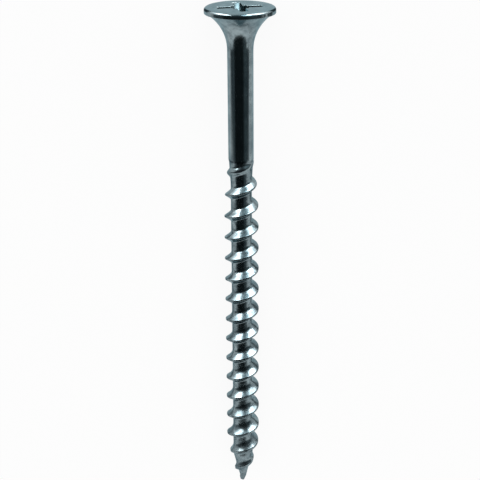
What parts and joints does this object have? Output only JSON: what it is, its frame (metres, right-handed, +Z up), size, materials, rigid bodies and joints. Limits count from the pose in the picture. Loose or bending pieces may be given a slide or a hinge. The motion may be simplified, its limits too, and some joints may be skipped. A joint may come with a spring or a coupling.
{
  "type": "coarse thread screw",
  "caption": "Bugle head screw with a cross recess, plain shank and one coarse sharp thread down to its point, for fixing board to wood; lies on its side.",
  "frame": {"origin": "on the floor under the middle of the screw's box, the screw lying on the rim of its head and on its thread", "axes": "+Y along the screw towards its head, +Z up; the axis rises about 2 degrees towards the head"},
  "size_m": [0.0082, 0.0636, 0.0082],
  "materials": {
    "zinc_steel": "bright zinc plated steel, smooth, with a slight blue cast"
  },
  "bodies": {
    "root": {"screw": "zinc_steel"}
  },
  "joints": []
}
